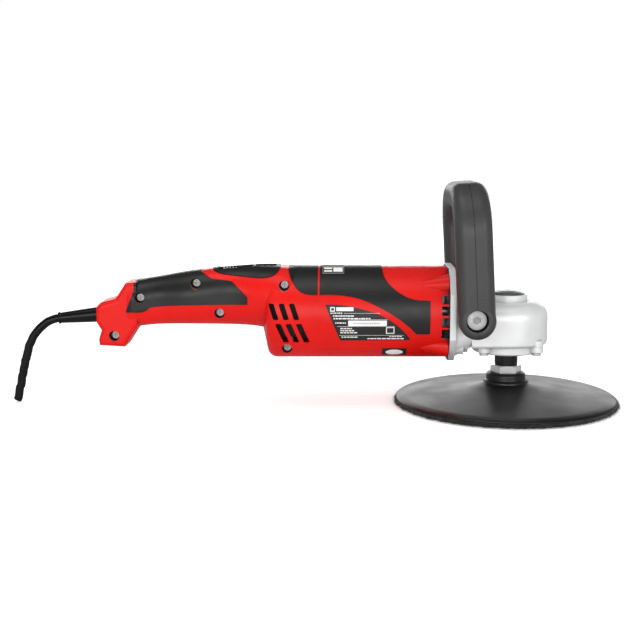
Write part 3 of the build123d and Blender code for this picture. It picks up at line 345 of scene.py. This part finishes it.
def backing_pad():
    """Rubber pad: stepped hub, long shallow cone and a rounded rim that is not quite flat."""
    rim = PAD_BOTTOM
    corners = [
        (10.1, HUB_TOP / MM - 0.1, 0), (13.6, HUB_TOP / MM, 0.8), (15.9, HUB_TOP / MM - 1.4, 1.0),
        (15.9, HUB_TOP / MM - 5.8, 0.8), (17.9, HUB_TOP / MM - 7.0, 0.8), (18.1, HUB_TOP / MM - 8.6, 0.6),
        (20.6, HUB_TOP / MM - 9.6, 1.2), (31, HUB_TOP / MM - 11.9, 6), (50, HUB_TOP / MM - 14.6, 8),
        (84, HUB_TOP / MM - 19.1, 4), (88.4, HUB_TOP / MM - 20.3, 1.0), (PAD_R / MM, rim / MM + 1.1, 0.9),
        (PAD_R / MM - 0.3, rim / MM, 0.4), (60, rim / MM, 0), (4.0, rim / MM, 0), (4.0, rim / MM + 6.4, 0),
        (10.1, rim / MM + 6.4, 0),
    ]
    profile = rounded_profile(corners)
    profile.append(profile[0])
    segments = 192
    points = []
    for p in profile[:-1]:
        radius, height = p
        sag = max(0.0, (radius - 45.0) / 45.0) ** 2
        for i in range(segments):
            angle = 2 * math.pi * i / segments
            across = Vector((math.cos(angle), math.sin(angle), 0.0))
            wave = noise.noise(across * 1.6 + Vector((3.1, 0.4, 7.7)))
            top_only = 1.0 if height > rim / MM + 0.9 else 0.0
            lift = 0.35 * sag * wave * top_only
            points.append((radius * MM * across.x, radius * MM * across.y, (height + lift) * MM))
    rings = len(profile) - 1
    faces = ring_faces(rings, segments, closed=False)
    for i in range(segments):
        j = (i + 1) % segments
        faces.append(((rings - 1) * segments + i, (rings - 1) * segments + j, j, i))
    made = new_object("rubber_pad", points, [tuple(reversed(f)) for f in faces], [MATERIALS["pad_rubber"]],
                      "spindle")
    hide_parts("backing_pad")


def hook_layer():
    """Hook-and-loop layer: uneven felt edge with loose fibres all round."""
    draw = random.Random(41)
    segments = 360
    top, bottom = HOOK_TOP - 0.02 * MM, 0.15 * MM
    edge = [(0.990, top), (0.999, top - 0.5 * MM), (1.0, 2.0 * MM), (0.996, 1.0 * MM), (0.985, bottom)]
    points = []
    for share in (0.03, 0.5, 0.9):
        points.extend(hook_ring(share * HOOK_R, top, segments, 0.0))
    for share, z in edge:
        points.extend(hook_ring(share * HOOK_R, z, segments, RAGGED))
    for share in (0.9, 0.5, 0.03):
        points.extend(hook_ring(share * HOOK_R, bottom, segments, 0.0))
    faces = ring_faces(len(points) // segments, segments)
    for _ in range(FIBRE_COUNT):
        angle = draw.uniform(0, 2 * math.pi)
        z = draw.uniform(0.35, 3.2) * MM
        root = Vector((math.cos(angle), math.sin(angle), 0)) * (HOOK_R * draw.uniform(0.982, 0.994))
        root.z = z
        out = Vector((math.cos(angle), math.sin(angle), 0)).normalized()
        side = out.cross(Vector((0, 0, 1)))
        drift = side * draw.uniform(-0.9, 0.9) + Vector((0, 0, draw.uniform(-0.5, 0.25)))
        reach = draw.uniform(1.0, 3.4) * MM
        tip = root + (out + drift) * reach
        tip.z = max(tip.z, 0.1 * MM)
        add_fibre(points, faces, root, tip, FIBRE_R)
    made = new_object("hook_layer", points, faces, [MATERIALS["hook_fabric"]], "spindle")
    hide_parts("hook_pad")


def hook_ring(radius, z, segments, ragged):
    ring = []
    for i in range(segments):
        angle = 2 * math.pi * i / segments
        rough = noise.noise(Vector((math.cos(angle) * 19, math.sin(angle) * 19, z / MM)))
        fine = noise.noise(Vector((math.cos(angle) * 60, math.sin(angle) * 60, z / MM * 2)))
        r = radius + ragged * (rough + 0.6 * fine - 0.35)
        ring.append((r * math.cos(angle), r * math.sin(angle), z))
    return ring


def add_fibre(points, faces, root, tip, thick):
    """Closed three-sided spike from root to tip."""
    along = (tip - root).normalized()
    side = along.cross(Vector((0.3, 0.2, 1.0))).normalized()
    up = along.cross(side)
    start = len(points)
    for i in range(3):
        angle = 2 * math.pi * i / 3
        points.append(tuple(root + (side * math.cos(angle) + up * math.sin(angle)) * thick))
    points.append(tuple(tip))
    faces.extend([(start, start + 1, start + 2), (start + 1, start, start + 3), (start + 2, start + 1, start + 3),
                  (start, start + 2, start + 3)])


# ---- cable --------------------------------------------------------------------------------------
CABLE_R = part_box("power_cable")[1][1]
JACKET_SEGMENTS = 28


def cable_line():
    """Centreline of the cable: it lies in the plane Y = 0, so the mesh's widest points are beside it."""
    places = {}
    for vertex in nodes["power_cable"].data.vertices:
        if vertex.co.y > 0.985 * CABLE_R:
            places[round(vertex.co.x / (0.4 * MM))] = Vector((vertex.co.x, 0.0, vertex.co.z))
    return [places[key] for key in sorted(places, reverse=True)]


def even_steps(line, spacing):
    """Points at equal steps along a polyline, ends kept."""
    lengths = [0.0]
    for a, b in zip(line, line[1:]):
        lengths.append(lengths[-1] + (b - a).length)
    count = max(2, round(lengths[-1] / spacing))
    placed, k = [], 0
    for i in range(count + 1):
        want = lengths[-1] * i / count
        while k < len(line) - 2 and lengths[k + 1] < want:
            k += 1
        share = (want - lengths[k]) / max(1e-9, lengths[k + 1] - lengths[k])
        placed.append(line[k].lerp(line[k + 1], min(1.0, share)))
    return placed


def smoothed(line, rounds=6):
    for _ in range(rounds):
        line = [line[0]] + [(a + 2 * b + c) / 4 for a, b, c in zip(line, line[1:], line[2:])] + [line[-1]]
    return line


def tube(line, radii, segments, offset=(0.0, 0.0)):
    """Rings of points square to a line in the plane Y = 0."""
    points = []
    for i, centre in enumerate(line):
        along = (line[min(i + 1, len(line) - 1)] - line[max(i - 1, 0)]).normalized()
        side = Vector((0, 1, 0))
        up = along.cross(side)
        middle = centre + side * offset[0] + up * offset[1]
        for k in range(segments):
            angle = 2 * math.pi * k / segments
            points.append(middle + (side * math.cos(angle) + up * math.sin(angle)) * radii[i])
    return points


def power_cable():
    """Jacket with a cut end that shows the two insulated cores and their copper."""
    line = smoothed(even_steps(cable_line(), 1.5 * MM))
    end, before = line[-1], line[-2]
    radii = []
    for i in range(len(line)):
        radii.append(CABLE_R * (0.992 + 0.008 * noise.noise(Vector((i * 0.11, 2.3, 0)))))
    back = (before - end).normalized()
    points = tube(line, radii[:-1] + [radii[-1] * 0.96], JACKET_SEGMENTS)
    along = -back
    side = Vector((0, 1, 0))
    up = along.cross(side)
    for place, size in ((end, CABLE_R * 0.80), (end + back * 1.2 * MM, CABLE_R * 0.74)):
        for k in range(JACKET_SEGMENTS):
            angle = 2 * math.pi * k / JACKET_SEGMENTS
            points.append(place + (side * math.cos(angle) + up * math.sin(angle)) * size)
    faces = ring_faces(len(line) + 2, JACKET_SEGMENTS)
    jacket = new_object("cable_jacket", points, faces, [MATERIALS["cable_rubber"]], "motor_body")
    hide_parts("power_cable")
    for name, shift, material in (("blue", -1.25, CORE_BLUE), ("brown", 1.25, CORE_BROWN)):
        inner = [end + back * 2.0 * MM, end + back * 0.2 * MM, end + back * 0.1 * MM]
        points = tube(inner, [1.05 * MM, 1.05 * MM, 0.85 * MM], 16, (shift * MM, 0.0))
        new_object("core_" + name, points, ring_faces(3, 16), [material], "motor_body")
        wire = [end + back * 2.0 * MM, end + back * 0.05 * MM, end]
        points = tube(wire, [0.55 * MM, 0.55 * MM, 0.45 * MM], 12, (shift * MM, 0.0))
        new_object("copper_" + name, points, ring_faces(3, 12), [MATERIALS["copper"]], "motor_body")


def strain_relief():
    """Smooth flexible sleeve: a long cone that ends in a thin rolled lip."""
    line = cable_line()
    root_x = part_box("strain_relief")[1][0]
    tip_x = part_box("strain_relief")[0][0]
    first, last = line[0], line[1]
    slope = (last.z - first.z) / (last.x - first.x)
    start = Vector((root_x, 0, first.z + slope * (root_x - first.x)))
    end = Vector((tip_x + 0.45 * MM, 0, first.z + slope * (tip_x - first.x)))
    length = (end - start).length
    flange, root, tip = 7.4 * MM, 6.22 * MM, 4.3 * MM
    stations = [(0.0, CABLE_R + 0.15 * MM), (0.0, flange), (2.2 * MM, flange), (2.25 * MM, root)]
    for i in range(25):
        share = i / 24
        stations.append((7.0 * MM + share * (length - 8.9 * MM), root + (tip - root) * share ** 1.15))
    for i in range(9):
        turn = math.pi * i / 8
        along_lip = length - 1.0 * MM - 0.75 * MM * math.cos(turn)
        stations.append((along_lip, tip + 0.15 * MM + 0.45 * MM * math.sin(turn)))
    stations.append((length - 0.2 * MM, CABLE_R + 0.12 * MM))
    points = []
    along = (end - start).normalized()
    side = Vector((0, 1, 0))
    up = along.cross(side)
    segments = 48
    for distance, radius in stations:
        for k in range(segments):
            angle = 2 * math.pi * k / segments
            points.append(start + along * distance + (side * math.cos(angle) + up * math.sin(angle)) * radius)
    faces = ring_faces(len(stations), segments, closed=False)
    for i in range(segments):
        j = (i + 1) % segments
        faces.append(((len(stations) - 1) * segments + i, (len(stations) - 1) * segments + j, j, i))
    made = new_object("flexible_sleeve", points, faces, [MATERIALS["cable_rubber"]], "motor_body")
    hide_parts("strain_relief")


# ---- printed blocks on the barrel ---------------------------------------------------------------
def barrel_point(x_mm, z_mm, radius_mm):
    """Point on the near side of a cylinder about the motor axis; z is height above the axis."""
    angle = math.asin(max(-1.0, min(1.0, z_mm / radius_mm)))
    return Vector((x_mm * MM, -radius_mm * math.cos(angle) * MM, AXIS_HEIGHT + radius_mm * math.sin(angle) * MM))


def add_block(points, faces, x_low, x_high, z_low, z_high, radius, thick=0.05):
    """Thin closed block that follows the barrel's curve."""
    steps = max(1, round((z_high - z_low) / 1.2))
    start = len(points)
    for depth in (radius, radius + thick):
        for k in range(steps + 1):
            z = z_low + (z_high - z_low) * k / steps
            for x in (x_low, x_high):
                base = barrel_point(x, z, radius)
                out = Vector((0, base.y, base.z - AXIS_HEIGHT)).normalized()
                points.append(base + out * (depth - radius) * MM)
    layer = 2 * (steps + 1)
    for k in range(steps):
        a = start + 2 * k
        faces.append((a, a + 2, a + 3, a + 1))
        faces.append((a + layer, a + layer + 1, a + layer + 3, a + layer + 2))
        faces.append((a, a + layer, a + layer + 2, a + 2))
        faces.append((a + 1, a + 3, a + layer + 3, a + layer + 1))
    end = start + 2 * steps
    faces.append((start, start + 1, start + layer + 1, start + layer))
    faces.append((end, end + layer, end + layer + 1, end + 1))


def frame_blocks(x_low, x_high, z_low, z_high, line):
    """Four bars of an outlined rectangle."""
    return [(x_low, x_high, z_high - line, z_high), (x_low, x_high, z_low, z_low + line),
            (x_low, x_low + line, z_low + line, z_high - line), (x_high - line, x_high, z_low + line, z_high - line)]


def word_row(draw, x_low, x_high, z_low, height, longest):
    """A row of blank bars of uneven length, like words seen from afar."""
    bars, x = [], x_low
    while x < x_high - 0.8:
        width = min(draw.uniform(0.35, 1.0) * longest, x_high - x)
        bars.append((x, x + width, z_low, z_low + height))
        x += width + 0.45
    return bars


def rating_print():
    """Blank bars, lines and boxes in place of the plate's lettering."""
    draw = random.Random(7)
    bars = frame_blocks(-144.0, -140.3, 5.1, 8.7, 0.8) + [(-139.3, -125.7, 5.5, 8.5)]
    bars += word_row(draw, -143.8, -133.8, 3.5, 0.85, 2.0)
    bars += [(-133.3, -105.0, 3.65, 3.9)]
    bars += word_row(draw, -141.8, -124.3, 1.2, 1.0, 3.0) + word_row(draw, -141.5, -112.1, -0.9, 1.0, 3.4)
    bars += [(-128.2, -99.0, -1.35, -1.1)]
    bars += word_row(draw, -140.1, -131.7, -4.4, 1.0, 2.4)
    bars += [(-129.9, -99.5, -6.4, -1.95)]
    bars += [(-138.5, -93.5, -6.85, -6.6)]
    for row in range(3):
        bars += word_row(draw, -136.1, -127.0 + 2.6 * row, -8.9 - 1.75 * row, 0.95, 3.2)
    bars += [(-136.9, -86.0, -14.3, -14.05)]
    bars += word_row(draw, -135.3, -121.7, -16.2, 0.95, 3.0)
    bars += frame_blocks(-100.1, -93.5, -12.8, -7.3, 0.7)
    bars += word_row(draw, -97.5, -87.0, -15.5, 0.7, 2.4)
    bars += word_row(draw, -114.7, -86.0, -17.5, 0.95, 4.2)
    points, faces = [], []
    for bar in bars:
        add_block(points, faces, *bar, 37.46)
    new_object("rating_print", points, faces, [INK], "motor_body", smooth=False)
    points, faces = [], []
    for bar in word_row(draw, -126.0, -104.0, -4.7, 1.0, 1.6):
        add_block(points, faces, *bar, 37.52)
    new_object("serial_print", points, faces, [MATERIALS["sticker_film"]], "motor_body", smooth=False)


def top_label_print():
    """Two plain bars and a plain block in a thin frame on the label over the grip."""
    points, faces = [], []
    bars = [(-149.0, -142.5, 35.8, 36.7), (-149.0, -142.5, 34.2, 35.1), (-141.6, -134.2, 34.2, 36.7)]
    for bar in bars:
        add_block(points, faces, *bar, 37.78)
    new_object("top_label_print", points, faces, [INK], "motor_body", smooth=False)
    points, faces = [], []
    for bar in frame_blocks(-150.1, -133.1, 33.1, 37.2, 0.35):
        add_block(points, faces, *bar, 37.78)
    new_object("top_label_rim", points, faces, [MATERIALS["sticker_film"]], "motor_body", smooth=False)
    nodes["top_label"].data.materials[0] = MATERIALS["plate_print"]


def sticker_oval():
    """Blank pale oval on the low sticker."""
    centre_x, centre_z, half_x, half_z = -93.0, -29.9, 7.0, 2.6
    rings, segments, radius = 5, 40, 37.43
    points, faces = [], []
    for depth in (0.0, 0.06):
        for r in range(rings + 1):
            share = max(0.05, r / rings)
            for i in range(segments):
                angle = 2 * math.pi * i / segments
                base = barrel_point(centre_x + half_x * share * math.cos(angle),
                                    centre_z + half_z * share * math.sin(angle), radius)
                out = Vector((0, base.y, base.z - AXIS_HEIGHT)).normalized()
                points.append(base + out * depth * MM)
    layer = (rings + 1) * segments
    for r in range(rings):
        for i in range(segments):
            j = (i + 1) % segments
            a, b, c, d = r * segments + i, r * segments + j, (r + 1) * segments + j, (r + 1) * segments + i
            faces.append((a, b, c, d))
            faces.append((d + layer, c + layer, b + layer, a + layer))
    for i in range(segments):
        j = (i + 1) % segments
        a, b = rings * segments + i, rings * segments + j
        faces.append((a, b, b + layer, a + layer))
    faces.append(tuple(reversed(range(segments))))
    faces.append(tuple(layer + i for i in range(segments)))
    new_object("sticker_oval", points, faces, [INK], "motor_body", smooth=False)


# ---- stage --------------------------------------------------------------------------------------
def floor_material():
    """Pale floor that looks white to the camera except where the object shades it."""
    shader = Shader("pale_floor")
    path = shader.node("ShaderNodeLightPath")
    seen = path.outputs["Is Camera Ray"]
    pale = shader.mix(shader.noise(300), (0.80, 0.80, 0.80), (0.84, 0.84, 0.84))
    muted = shader.mix(path.outputs["Is Glossy Ray"], pale, (0.36, 0.36, 0.36))
    shader.set("Base Color", shader.mix(seen, muted, (1.0, 1.0, 1.0)))
    shader.set("Roughness", 0.9)
    shader.set("Specular IOR Level", 0.1)
    shader.set("Emission Color", (1.0, 1.0, 1.0))
    shader.set("Emission Strength", shader.math("MULTIPLY", seen, 0.34))
    return shader.material


def make_floor():
    bpy.ops.mesh.primitive_plane_add(size=24, location=(0, 0, -0.0005))
    floor = bpy.context.object
    floor.name = "floor"
    floor.data.materials.append(floor_material())


def make_world():
    """White to the camera; to reflections bright at the horizon and dark overhead; soft light on matt surfaces."""
    world = bpy.data.worlds.new("studio")
    world.use_nodes = True
    tree = world.node_tree
    background = tree.nodes["Background"]
    path = tree.nodes.new("ShaderNodeLightPath")
    split = tree.nodes.new("ShaderNodeSeparateXYZ")
    tree.links.new(tree.nodes.new("ShaderNodeTexCoord").outputs["Generated"], split.inputs[0])
    overhead = tree.nodes.new("ShaderNodeMapRange")
    for key, number in (("From Min", 0.10), ("From Max", 0.45), ("To Min", 0.42), ("To Max", 0.09)):
        overhead.inputs[key].default_value = number
    tree.links.new(split.outputs["Z"], overhead.inputs["Value"])
    strength = 0.72
    for test, value in (("Is Glossy Ray", overhead.outputs["Result"]), ("Is Camera Ray", 1.0)):
        choose = tree.nodes.new("ShaderNodeMix")
        tree.links.new(path.outputs[test], choose.inputs[0])
        for source, socket in ((strength, choose.inputs[2]), (value, choose.inputs[3])):
            if isinstance(source, bpy.types.NodeSocket):
                tree.links.new(source, socket)
            else:
                socket.default_value = source
        strength = choose.outputs[0]
    tree.links.new(strength, background.inputs["Strength"])
    background.inputs["Color"].default_value = (1, 1, 1, 1)
    bpy.context.scene.world = world


def make_lights():
    lights = [
        ("front_softbox", (-0.5, -1.8, 0.30), (-0.12, 0, 0.06), 13.0, (1.6, 0.9)),
        ("front_right_softbox", (0.8, -1.4, 0.45), (-0.02, 0, 0.10), 6.0, (0.7, 0.9)),
        ("top_softbox", (-0.4, -0.3, 1.6), (-0.12, 0, 0.06), 5.0, (1.2, 0.8)),
        ("rear_strip", (-0.15, 1.9, 0.52), (0.0, 0, 0.02), 11.0, (2.6, 0.40)),
    ]
    for name, place, target, power, (width, height) in lights:
        data = bpy.data.lights.new(name, "AREA")
        data.shape = "RECTANGLE"
        data.energy = power
        data.size = width
        data.size_y = height
        lamp = bpy.data.objects.new(name, data)
        lamp.location = place
        lamp.rotation_euler = (Vector(target) - Vector(place)).to_track_quat("-Z", "Y").to_euler()
        lamp.visible_camera = False
        bpy.context.scene.collection.objects.link(lamp)


def make_camera():
    data = bpy.data.cameras.new("camera")
    data.lens = 63.47
    data.sensor_width = 36
    data.clip_start = 0.05
    camera = bpy.data.objects.new("camera", data)
    camera.location = (-0.1366, -0.9124, AXIS_HEIGHT + 0.1384)
    yaw, pitch, roll = (math.radians(angle) for angle in (1.01, 9.08, -0.19))
    aim = Matrix.Rotation(yaw, 4, "Z") @ Matrix.Rotation(math.pi / 2 - pitch, 4, "X") @ Matrix.Rotation(roll, 4, "Z")
    camera.rotation_euler = aim.to_euler()
    bpy.context.scene.collection.objects.link(camera)
    bpy.context.scene.camera = camera


backing_pad()
hook_layer()
power_cable()
strain_relief()
rating_print()
top_label_print()
sticker_oval()
make_floor()
make_world()
make_lights()
make_camera()
bpy.context.scene.view_settings.view_transform = "Standard"
